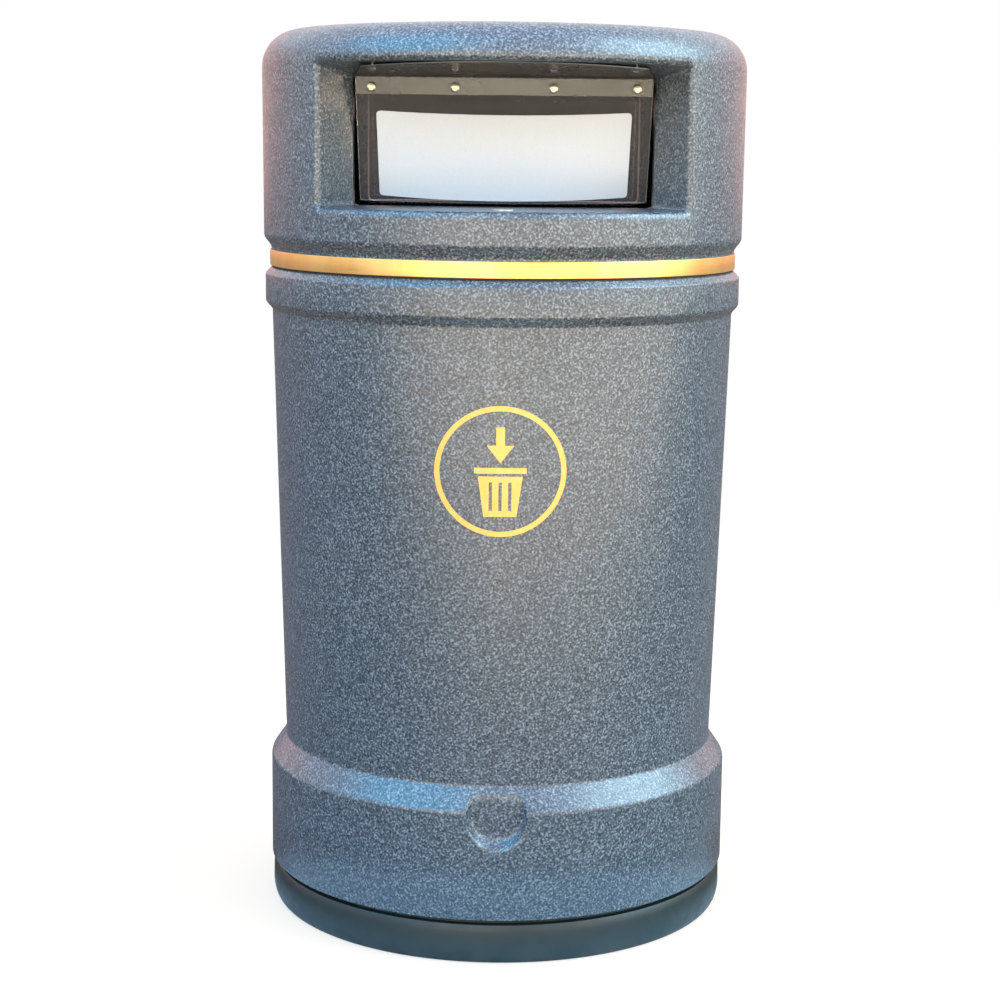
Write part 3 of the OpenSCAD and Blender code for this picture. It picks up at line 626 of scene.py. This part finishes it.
GRANITE = granite_plastic()
FINISHES = {
    "granite_plastic": GRANITE,
    "black_plastic": black_plastic(),
    "concrete": concrete(),
    "zinc_steel": metal("zinc_steel", (0.44, 0.46, 0.50), (0.62, 0.64, 0.66), (0.30, 0.46)),
    "stainless": metal("stainless", (0.52, 0.52, 0.50), (0.74, 0.73, 0.71), (0.22, 0.34),
                       (1, 1, 14), 160),
    "dark_steel": dark_steel(),
    "seal_rubber": seal_rubber(),
    "gold_print": gold_print(),
    "gold_band": gold_band(),
    "clear_sheet": clear_sheet(),
    "label_white": label_white(),
    "rivet_metal": metal("rivet_metal", (0.36, 0.33, 0.25), (0.56, 0.52, 0.42), (0.18, 0.32)),
    "brass": metal("brass", (0.50, 0.36, 0.16), (0.76, 0.60, 0.30), (0.20, 0.36)),
    "galvanised": galvanised(),
}
EDGE_OF_SHEET = sheet_edge()


# ---- Hood ----

def hood_distance():
    """Signed distance to the moulded hood: a shell with a funnel behind each mouth."""
    low, high, cell = (0.0, hood_low_z - 0.03), (0.31, total_h + 0.03), 0.001
    under = hood_low_z - 0.13
    outside = Outline([(0.0, hood_low_z), (neck_r, hood_low_z)] + hood_outline(0), low, high, cell)
    hollow = Outline([(0.0, under), (neck_r - wall, under)] + hood_outline(wall), low, high, cell)
    splay = (mouth_half - throat_half) / (mouth_y - throat_y)

    def recess(x, y, z, extra):
        x, y = np.abs(x), np.abs(y)
        depth = np.maximum(np.sqrt(np.maximum(hood_r ** 2 - x * x, 0)) - throat_y, recess_least)
        share = np.maximum((y - throat_y) / depth, 0)
        straight = x - throat_half
        slanted = (x - throat_half - splay * (y - throat_y)) / math.hypot(1, splay)
        side = np.minimum(straight, slanted) - extra
        above = z - throat_top - lintel_rise * share - extra
        below = throat_sill - sill_drop * share - z - extra
        corner = recess_round + extra
        return round_overlap(round_overlap(side, above, corner), below, corner)

    def distance(x, y, z):
        r = np.hypot(x, y)
        face = round_overlap(outside(r, z), -recess(x, y, z, 0), mouth_round)
        funnel = round_overlap(recess(x, y, z, wall), throat_end_y - np.abs(y), end_round)
        lining = round_union(-hollow(r, z), funnel, lining_fillet)
        bore = np.hypot(x - lock_place.x, y - lock_place.y) - lock_bore_r
        shell = round_overlap(face, lining, end_round)
        return np.maximum(shell, -np.maximum(bore, np.abs(z - throat_sill) - lock_bore_reach))

    return distance


def hood():
    reach, below, above = hood_r + 0.008, hood_low_z - 0.008, total_h + 0.006
    points, quads, normals = mesh_of_distance(
        hood_distance(), (-reach, -reach, below), (reach, reach, above), hood_voxel)
    piece = make_piece("hood", points, quads.tolist(), "hood", [GRANITE])
    piece.data.normals_split_custom_set_from_vertices(normals.tolist())
    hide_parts("hood_shell")
    return piece


# ---- Body ----

def pocket_surface(x, z):
    """Distance along Y, from the bin's axis, of the pocket's flat face and of its flared rim."""
    down = np.maximum(pocket_z - z, 0)
    d = np.hypot(x, down)
    lowness = (down / np.maximum(d, 1e-6)) ** 2
    flare = pocket_flare_side + (pocket_flare_low - pocket_flare_side) * lowness
    rise = pocket_inner_soft * np.logaddexp(0, (d - pocket_r) / pocket_inner_soft)
    return pocket_face_y + rise * pocket_depth / flare


def with_pockets(points, depth):
    """Moves the points of a wall back to the pocket's surface, which lies depth further in."""
    x, y, z = points.T
    surface = pocket_surface(x, z) - depth
    soft = pocket_outer_soft
    near = (np.abs(x) < pocket_half_zone) & (z > pocket_low_zone) & (z < pocket_high_zone)
    points[near, 1] = (np.sign(y) * -soft * np.logaddexp(-np.abs(y) / soft, -surface / soft))[near]
    return points


def body():
    """The body: a wall turned about the axis, with a pocket in the plinth at the front and the rear."""
    angles = []
    for facing in (-90, 90):
        angles += np.arange(facing - 12, facing + 12, 0.25).tolist()
        angles += np.arange(facing + 12, facing + 168, 2.0).tolist()
    angles = np.radians(angles)
    outer = body_outline(shelf_top + foot_round)
    start_r, start_z = collar_start
    rim = s_curve(start_r, start_z, collar_r - start_r, collar_rise) + eased(
        [(collar_r, collar_low_z), (collar_r, collar_top_z), (rim_r, split_z), (spigot_r, split_z),
         (spigot_r, body_high.z), (spigot_in_r, body_high.z), (spigot_in_r, split_z - wall),
         (collar_r - wall - 0.006, split_z - wall), (collar_r - wall, collar_top_z - 0.004),
         (collar_r - wall, collar_low_z - 0.010), (start_r - wall, start_z)], collar_round, closed=False)
    inner = body_outline(shelf_top + wall, wall)[::-1]
    outline = [(flange_in_r, shelf_top), (foot_r - foot_round, shelf_top)] + outer + rim + inner
    outline += [(flange_in_r, shelf_top + wall)]
    points, faces = turned(outline, angles)
    points = points.reshape(len(outline), len(angles), 3)
    first_inner = 2 + len(outer) + len(rim)
    for rows, depth in ((slice(0, first_inner), 0.0), (slice(first_inner, None), wall)):
        part = points[rows].reshape(-1, 3)
        points[rows] = with_pockets(part, depth).reshape(points[rows].shape)
    piece = make_piece("body", points.reshape(-1, 3), faces, "root", [GRANITE])
    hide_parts("body_shell")
    return piece


# ---- Base and band ----

def base():
    """The base moulding: a tray under a shelf, with holes for the anchors and the body's bolts."""
    low = [(base_r - base_round_w * (1 - math.sin(a)), base_round_h * (1 - math.cos(a)))
           for a in np.linspace(0.12, math.pi / 2, 20)]
    shelf_low, middle_r = shelf_top - shelf_t, 0.001
    outline = eased(low + [(base_r - 0.0003, base_h - 0.008), (base_r - 0.003, base_h),
                           (base_neck_r, base_h), (base_neck_r, shelf_top),
                           (shelf_in_r, shelf_top), (shelf_in_r, shelf_low),
                           (base_in_r, shelf_low), (base_in_r, base_floor_t), (middle_r, base_floor_t),
                           (middle_r, 0.0)], 0.001)
    points, faces = turned(outline, full_turn(240))
    piece = make_piece("base", points, faces, None, [FINISHES["black_plastic"]])
    holes = [(angle, anchor_ring_r, anchor_r, 0.0) for angle in (45, 135, 225, 315)]
    holes += [(angle, bolt_ring_r, bolt_r, shelf_low + shelf_t / 2) for angle in range(30, 390, 60)]
    for angle, ring_r, radius, z in holes:
        a = math.radians(angle)
        bpy.ops.mesh.primitive_cylinder_add(vertices=32, radius=radius, depth=0.03,
                                            location=(ring_r * math.cos(a), ring_r * math.sin(a), z))
        cutter = bpy.context.object
        cut = piece.modifiers.new("hole", "BOOLEAN")
        cut.object, cut.operation, cut.solver = cutter, "DIFFERENCE", "EXACT"
        apply_modifiers(piece)
        bpy.data.objects.remove(cutter)
    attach(piece, "root")
    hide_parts("base_moulding")
    return piece


def band():
    """The gold strip round the neck, with its joint at the rear."""
    r0, r1 = neck_r + 0.0001, band_high.x
    outline = eased([(r0, band_low.z), (r1, band_low.z), (r1, band_high.z), (r0, band_high.z)], 0.0006)
    slit = math.asin(0.0005 / r1)
    angles = np.linspace(math.pi / 2 + slit, 2.5 * math.pi - slit, 361)
    points, faces = turned(outline, angles, closed_turn=False)
    piece = make_piece("gold_strip", points, faces, "hood", [FINISHES["gold_band"]])
    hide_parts("neck_band")


# ---- Sheets, labels and hangers ----

def sheet_half(s):
    return sheet_half_top + (sheet_half_low - sheet_half_top) * s / sheet_len


def sheet_points(x, s, n):
    """Points of the front sheet."""
    return np.stack([x, -sheet_y + s * math.sin(sheet_lean) - n * math.cos(sheet_lean),
                     sheet_top_z - s * math.cos(sheet_lean) - n * math.sin(sheet_lean)], -1)


def bow(u, s):
    k = np.maximum(0, (s - fold_s) / (sheet_len - fold_s))
    return bow_depth * (1 - u * u) * k ** 1.5


def slab(name, x, s, n, thickness, body, materials, edge_r, rear):
    """A thin slab between two faces: its outer face is the grid of points at n."""
    rows, cols = x.shape
    outer = sheet_points(x, s, n).reshape(-1, 3)
    inner = sheet_points(x, s, n - thickness).reshape(-1, 3)
    points = np.concatenate([outer, inner])
    count = rows * cols
    face = grid_faces(rows, cols)
    ring = ([j for j in range(cols)] + [i * cols + cols - 1 for i in range(1, rows)]
            + [(rows - 1) * cols + j for j in range(cols - 2, -1, -1)]
            + [i * cols for i in range(rows - 2, 0, -1)])
    sides = [(a + count, b + count, b, a) for a, b in zip(ring, ring[1:] + ring[:1])]
    faces = face[:, ::-1].tolist() + (face + count).tolist() + sides
    if rear:
        points = points * np.array([-1, -1, 1])
    piece = make_piece(name, points, faces, None, materials)
    for polygon in piece.data.polygons[-len(sides):]:
        polygon.material_index = len(materials) - 1
    add_bevel(piece, edge_r).material = 0
    apply_modifiers(piece)
    return piece


def side_names(rear):
    return ("rear", "rear_flap") if rear else ("front", "front_flap")


def flap(rear):
    """One continuous flexible sheet, whose top strip is riveted to the hanger."""
    side, flap_body = side_names(rear)
    u, s = np.meshgrid(np.linspace(-1, 1, 41), np.concatenate([
        np.linspace(0, 0.016, 5), np.linspace(0.0172, 0.0268, 9), np.linspace(0.030, sheet_len, 22)]))
    piece = slab(f"{side}_sheet", u * sheet_half(s), s, bow(u, s), sheet_t, flap_body,
                 [FINISHES["clear_sheet"], EDGE_OF_SHEET], 0.0004, rear)
    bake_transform(piece)
    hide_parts(f"{side}_flap_strip", f"{side}_flap")


def label(rear):
    """Plain label with rounded corners, laid on the sheet."""
    side, flap_body = side_names(rear)
    v = np.concatenate([np.linspace(0, 0.05, 7), np.linspace(0.09, 0.91, 12), np.linspace(0.95, 1, 7)])
    u, v = np.meshgrid(np.linspace(-1, 1, 41), v)
    length = label_low_s - label_sag - label_top_s
    end = np.minimum(v, 1 - v) * length
    into = np.maximum(label_corner - end, 0)
    inset = label_corner - np.sqrt(np.maximum(label_corner ** 2 - into ** 2, 0))
    half = label_half - 0.003 * v - inset
    s = label_top_s + length * v + label_sag * (1 - u * u)
    x = half * u
    piece = slab(f"{side}_plain_label", x, s, bow(x / sheet_half(s), s) + label_t + 0.00005, label_t,
                 flap_body, [FINISHES["label_white"]], 0.00015, rear)
    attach(piece, flap_body)
    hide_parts(f"{side}_label")


def hanger(rear):
    """Bent strip: one leg under the ceiling of the recess, the other behind the top of the sheet."""
    side, _ = side_names(rear)
    rise = lintel_rise / (hood_r - throat_y)
    n_mid = -sheet_t - hanger_t / 2 - 0.00005
    reach = hood_r - hanger_inset
    foot_s = fold_s - 0.0015
    foot = sheet_points(0.0, foot_s, n_mid)
    ceiling = throat_top + rise * (sheet_y - throat_y) - 0.0003 - hanger_t / 2
    corner = sheet_points(0.0, foot_s + (foot[2] - ceiling) / math.cos(sheet_lean), n_mid)
    low = [foot[1:] * (1 - k) + corner[1:] * k for k in (0, 0.33, 0.66)]
    far = (-reach, ceiling + rise * (reach - sheet_y))
    bend = eased([low[-1], corner[1:], far], 0.0028, closed=False, n=8)[1:-1]
    start = np.array(bend[-1])
    u = np.linspace(-1, 1, 61)
    share = np.linspace(0, 1, 25)[1:]
    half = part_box(f"{side}_hanger")[1].x
    rows = [np.stack([half * u, p[0] + 0 * u, p[1] + 0 * u], -1) for p in low + bend]
    for k in share:
        x = u * (half - hanger_taper * k)
        y = start[0] + (-np.sqrt(reach ** 2 - x ** 2) - start[0]) * k
        rows.append(np.stack([x, y, start[1] + rise * (start[0] - y)], -1))
    points = np.array(rows).reshape(-1, 3)
    if rear:
        points = points * np.array([-1, -1, 1])
    faces = grid_faces(len(rows), len(u)).tolist()
    piece = make_piece(f"{side}_bracket", points, faces, None, [FINISHES["dark_steel"]])
    solid = piece.modifiers.new("sheet", "SOLIDIFY")
    solid.thickness, solid.offset = hanger_t, 0
    add_bevel(piece, 0.0003)
    apply_modifiers(piece)
    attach(piece, "hood")
    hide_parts(f"{side}_hanger")


# ---- Pieces ----

hood()
body()
base()
band()
for at_rear in (False, True):
    flap(at_rear)
    label(at_rear)
    hanger(at_rear)

for node in frame["nodes"].values():
    for part in node.material_slots:
        part.material = FINISHES[part.material.name]


# ---- Stage, light and camera ----

# Radiance of each soft light: red, green, blue
LIGHTS = {
    "air": (1.22, 1.17, 1.15),
    "sky": (0.27, 0.40, 1.22),
    "left_sky": (1.0, 3.1, 5.2),
    "right_sky": (3.5, 5.6, 6.5),
    "front_left": (1.9, 1.7, 1.4),
    "front_right": (1.3, 1.25, 1.15),
    "rear": (1.6, 1.5, 1.5),
    "rear_gloss": (1.45, 0.82, 0.70),
    "sunlit_ground": (3.5, 2.7, 1.95),
    "bright_patch": (13.5, 11.2, 8.2),
}

# Where each light of the sky stands, the angles from there over which it fades out, in degrees, and
# how it is laid over the sky
SKY_LOBES = {
    "left_sky": ((-0.57, -0.40, 0.73), 10, 36, "MIX"),
    "right_sky": ((0.88, -0.12, 0.62), 12, 34, "ADD"),
    "front_left": ((-0.32, -1, 0.30), 6, 30, "ADD"),
    "front_right": ((0.95, -1, 0.30), 6, 34, "ADD"),
    "rear": ((0, 1, 0.10), 50, 78, "MIX"),
}


# Paving near the front of the bin, and the distances over which it gives way to dark ground
PAVING, DARK_GROUND = (0.44, 0.53, 0.58), (0.14, 0.09, 0.07)
paving_place, paving_start, paving_end = (0, -0.14, 0), 0.26, 0.38

# Sunlit ground: the way to it, and how far along that way it starts and is full
sun_way, sun_start, sun_full = (0.326, -0.946, 0), 1.2, 2.0

# Bright patch in the sunlit ground
patch_place, patch_r, patch_soft = (0.01, -2.60, 0), 0.21, 0.04

# White floor round the bin, which turns from shaded to plain white between two distances
plain_start, plain_end = 0.35, 2.2

# Dark card behind the bin: where it stands, and the angles from there over which it fades out
card_way, card_inner, card_outer = (0, 1, 0.02), 5, 8


def floor():
    """White to the camera; to the light, shaded ground near the bin and sunlit ground beyond."""
    bpy.ops.mesh.primitive_plane_add(size=60, location=(0, 0, 0))
    made = bpy.context.object
    made.name = "floor"
    finish = bpy.data.materials.new("floor")
    finish.use_nodes = True
    tree = finish.node_tree
    tree.nodes.clear()
    ground = add(tree, "NewGeometry").outputs["Position"]
    distance = add(tree, "VectorMath", {0: ground}, operation="LENGTH").outputs["Value"]
    fade = add(tree, "MapRange", {0: distance, 1: plain_start, 2: plain_end, 3: 0.62, 4: 1.0},
               interpolation_type="SMOOTHSTEP").outputs[0]
    seen = add(tree, "MixShader", {0: fade, 1: diffuse(tree, (0.9, 0.7, 0.5)), 2: glow(tree, (1, 1, 1))})
    ahead = add(tree, "VectorMath", {0: ground, 1: sun_way}, operation="DOT_PRODUCT").outputs["Value"]
    away = step(tree, off(tree, ground, paving_place), paving_start, paving_end)
    lit = add(tree, "MixShader", {0: step(tree, ahead, sun_start, sun_full),
                                  1: diffuse(tree, mixed(tree, away, PAVING, DARK_GROUND)),
                                  2: glow(tree, LIGHTS["sunlit_ground"])})
    patch = step(tree, off(tree, ground, patch_place), patch_r + patch_soft, patch_r)
    lit = add(tree, "MixShader", {0: patch, 1: lit.outputs[0], 2: glow(tree, LIGHTS["bright_patch"])})
    rays = add(tree, "LightPath")
    both = add(tree, "MixShader", {0: rays.outputs["Is Camera Ray"], 1: lit.outputs[0],
                                   2: seen.outputs[0]})
    add(tree, "OutputMaterial", {0: both.outputs[0]})
    made.data.materials.append(finish)


def off(tree, where, middle):
    """Distance from a point."""
    return add(tree, "VectorMath", {0: where, 1: middle}, operation="DISTANCE").outputs["Value"]


def diffuse(tree, rgb):
    rgb = rgb if isinstance(rgb, bpy.types.NodeSocket) else colour(rgb)
    return add(tree, "BsdfDiffuse", {0: rgb}).outputs[0]


def glow(tree, rgb):
    return add(tree, "Emission", {0: colour(rgb), 1: 1.0}).outputs[0]


def lobe(tree, way, axis, inner, outer):
    """1 towards axis, falling to 0 between two angles from it, in degrees."""
    axis = Vector(axis).normalized()
    along = add(tree, "VectorMath", {0: way, 1: axis}, operation="DOT_PRODUCT").outputs["Value"]
    return step(tree, along, math.cos(math.radians(outer)), math.cos(math.radians(inner)))


def world():
    """White to the camera; to the object, a soft sky, broad lights and a dark card behind the bin."""
    made = bpy.data.worlds.new("studio")
    bpy.context.scene.world = made
    made.use_nodes = True
    tree = made.node_tree
    tree.nodes.clear()
    way = add(tree, "TexCoord").outputs["Generated"]
    height = add(tree, "SeparateXYZ", {0: way}).outputs[2]
    rise = add(tree, "MapRange", {0: height, 1: 0.15, 2: 1.0}).outputs[0]
    sky = mixed(tree, rise, LIGHTS["air"], LIGHTS["sky"], "ADD")
    rays = add(tree, "LightPath")
    low_gloss = add(tree, "Math", {0: rays.outputs["Is Glossy Ray"], 1: step(tree, height, 0.42, 0.22)},
                    operation="MULTIPLY").outputs[0]
    tones = {**LIGHTS, "rear": mixed(tree, low_gloss, LIGHTS["rear"], LIGHTS["rear_gloss"])}
    for name, (axis, inner, outer, blend) in SKY_LOBES.items():
        sky = mixed(tree, lobe(tree, way, axis, inner, outer), sky, tones[name], blend)
    sky = mixed(tree, lobe(tree, way, card_way, card_inner, card_outer), sky, (0.0, 0.0, 0.0))
    soft = add(tree, "Background", {0: sky, 1: 1.0})
    white = add(tree, "Background", {0: (1, 1, 1, 1), 1: 1.0})
    both = add(tree, "MixShader", {0: rays.outputs["Is Camera Ray"], 1: soft.outputs[0],
                                   2: white.outputs[0]})
    add(tree, "OutputWorld", {0: both.outputs[0]})


def camera():
    """The photographer's view of the front."""
    data = bpy.data.cameras.new("camera")
    made = bpy.data.objects.new("camera", data)
    bpy.context.scene.collection.objects.link(made)
    data.lens, data.sensor_width = camera_lens, 36.0
    made.matrix_world = (Matrix.Translation(camera_place)
                         @ Matrix.Rotation(math.radians(90 - camera_pitch), 4, "X")
                         @ Matrix.Rotation(math.radians(camera_roll), 4, "Z"))
    bpy.context.scene.camera = made


floor()
world()
camera()
bpy.context.scene.view_settings.view_transform = "Standard"
